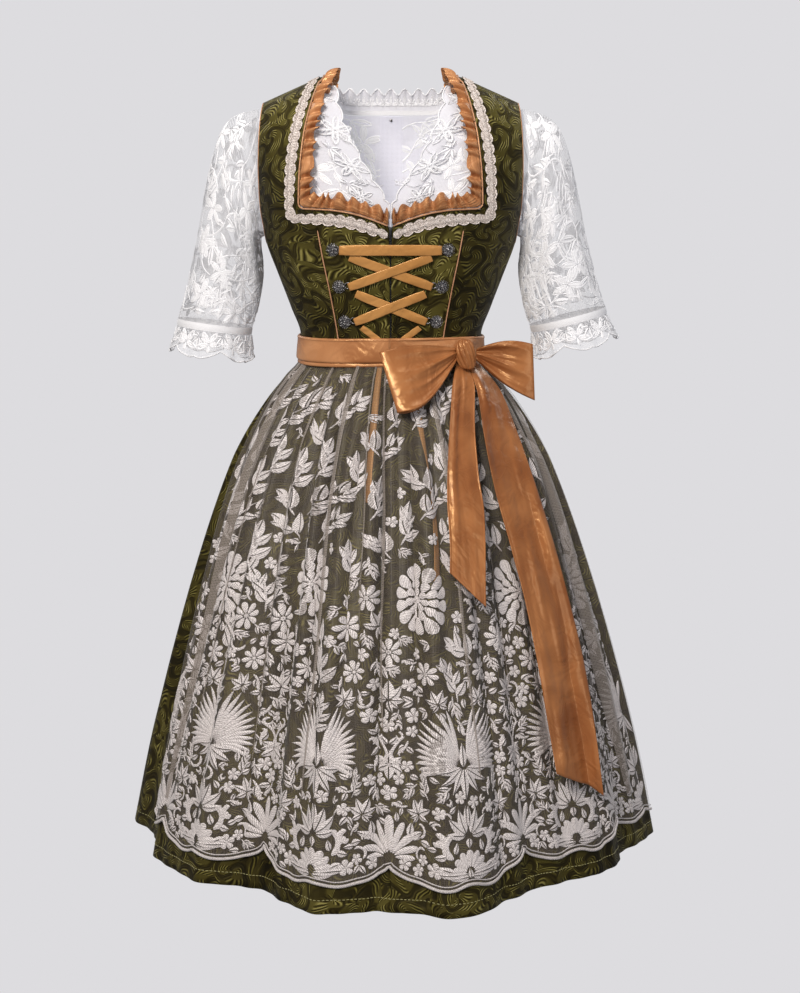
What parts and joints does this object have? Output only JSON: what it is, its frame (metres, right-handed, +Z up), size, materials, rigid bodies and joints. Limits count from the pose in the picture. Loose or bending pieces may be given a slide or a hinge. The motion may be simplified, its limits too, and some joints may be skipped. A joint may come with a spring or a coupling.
{
  "type": "dirndl dress with apron and blouse",
  "caption": "Knee-length laced dirndl with a gathered skirt, a lace apron tied in a bow and an elbow-sleeve lace blouse, worn and hollow.",
  "frame": {"origin": "middle of the shoulder line, midway between the two straps' tops, where the wearer holds the dress up", "axes": "+Z up, -Y is the front with the lacing, +X is the side with the bow, the wearer's left"},
  "size_m": [0.7554, 0.7279, 1.0746],
  "materials": {
    "skirt_front_left": "satin jacquard",
    "skirt_front_right": "satin jacquard",
    "skirt_back_left": "satin jacquard",
    "skirt_back_right": "satin jacquard",
    "bodice_front_left": "satin jacquard",
    "bodice_front_right": "satin jacquard",
    "bodice_side_left": "satin jacquard",
    "bodice_side_right": "satin jacquard",
    "bodice_back_left": "satin jacquard",
    "bodice_back_right": "satin jacquard",
    "front_zip": "matte",
    "zip_slider": "matte",
    "neck_piping_left": "satin",
    "neck_piping_right": "satin",
    "princess_piping_left": "satin",
    "princess_piping_right": "satin",
    "neck_ruffle_left": "satin",
    "neck_ruffle_right": "satin",
    "neck_braid_left": "matte crochet",
    "neck_braid_right": "matte crochet",
    "lacing_hook_left_1": "darkened filigree",
    "lacing_hook_left_2": "darkened filigree",
    "lacing_hook_left_3": "darkened filigree",
    "lacing_hook_right_1": "darkened filigree",
    "lacing_hook_right_2": "darkened filigree",
    "lacing_hook_right_3": "darkened filigree",
    "lacing_bar": "satin ribbon",
    "lacing_under_1": "satin ribbon",
    "lacing_under_2": "satin ribbon",
    "lacing_over_1": "satin ribbon",
    "lacing_over_2": "satin ribbon",
    "lacing_tuck_left": "satin ribbon",
    "lacing_tuck_right": "satin ribbon",
    "lacing_end_left": "satin ribbon",
    "lacing_end_right": "satin ribbon",
    "apron_lace": "embroidered tulle",
    "apron_waistband": "satin",
    "bow_knot": "satin",
    "bow_loop_left": "satin",
    "bow_loop_right": "satin",
    "bow_tail_short": "satin",
    "bow_tail_long": "satin",
    "blouse_front_left": "matte lace",
    "blouse_front_right": "matte lace",
    "blouse_back": "matte lace",
    "blouse_collar": "matte lace",
    "blouse_neck_trim_left": "matte lace",
    "blouse_neck_trim_right": "matte lace",
    "blouse_sleeve_left": "matte lace",
    "blouse_sleeve_right": "matte lace",
    "cuff_band_left": "matte lace",
    "cuff_band_right": "matte lace",
    "cuff_lace_left": "matte lace",
    "cuff_lace_right": "matte lace"
  },
  "bodies": {
    "root": {"skirt_front_left": "skirt_front_left", "skirt_front_right": "skirt_front_right", "skirt_back_left": "skirt_back_left", "skirt_back_right": "skirt_back_right", "bodice_front_left": "bodice_front_left", "bodice_front_right": "bodice_front_right", "bodice_side_left": "bodice_side_left", "bodice_side_right": "bodice_side_right", "bodice_back_left": "bodice_back_left", "bodice_back_right": "bodice_back_right", "front_zip": "front_zip", "zip_slider": "zip_slider", "neck_piping_left": "neck_piping_left", "neck_piping_right": "neck_piping_right", "princess_piping_left": "princess_piping_left", "princess_piping_right": "princess_piping_right", "neck_ruffle_left": "neck_ruffle_left", "neck_ruffle_right": "neck_ruffle_right", "neck_braid_left": "neck_braid_left", "neck_braid_right": "neck_braid_right", "lacing_hook_left_1": "lacing_hook_left_1", "lacing_hook_left_2": "lacing_hook_left_2", "lacing_hook_left_3": "lacing_hook_left_3", "lacing_hook_right_1": "lacing_hook_right_1", "lacing_hook_right_2": "lacing_hook_right_2", "lacing_hook_right_3": "lacing_hook_right_3", "lacing_bar": "lacing_bar", "lacing_under_1": "lacing_under_1", "lacing_under_2": "lacing_under_2", "lacing_over_1": "lacing_over_1", "lacing_over_2": "lacing_over_2", "lacing_tuck_left": "lacing_tuck_left", "lacing_tuck_right": "lacing_tuck_right", "lacing_end_left": "lacing_end_left", "lacing_end_right": "lacing_end_right", "apron_lace": "apron_lace", "apron_waistband": "apron_waistband", "bow_knot": "bow_knot", "bow_loop_left": "bow_loop_left", "bow_loop_right": "bow_loop_right", "bow_tail_short": "bow_tail_short", "bow_tail_long": "bow_tail_long", "blouse_front_left": "blouse_front_left", "blouse_front_right": "blouse_front_right", "blouse_back": "blouse_back", "blouse_collar": "blouse_collar", "blouse_neck_trim_left": "blouse_neck_trim_left", "blouse_neck_trim_right": "blouse_neck_trim_right", "blouse_sleeve_left": "blouse_sleeve_left", "blouse_sleeve_right": "blouse_sleeve_right", "cuff_band_left": "cuff_band_left", "cuff_band_right": "cuff_band_right", "cuff_lace_left": "cuff_lace_left", "cuff_lace_right": "cuff_lace_right"}
  },
  "joints": []
}
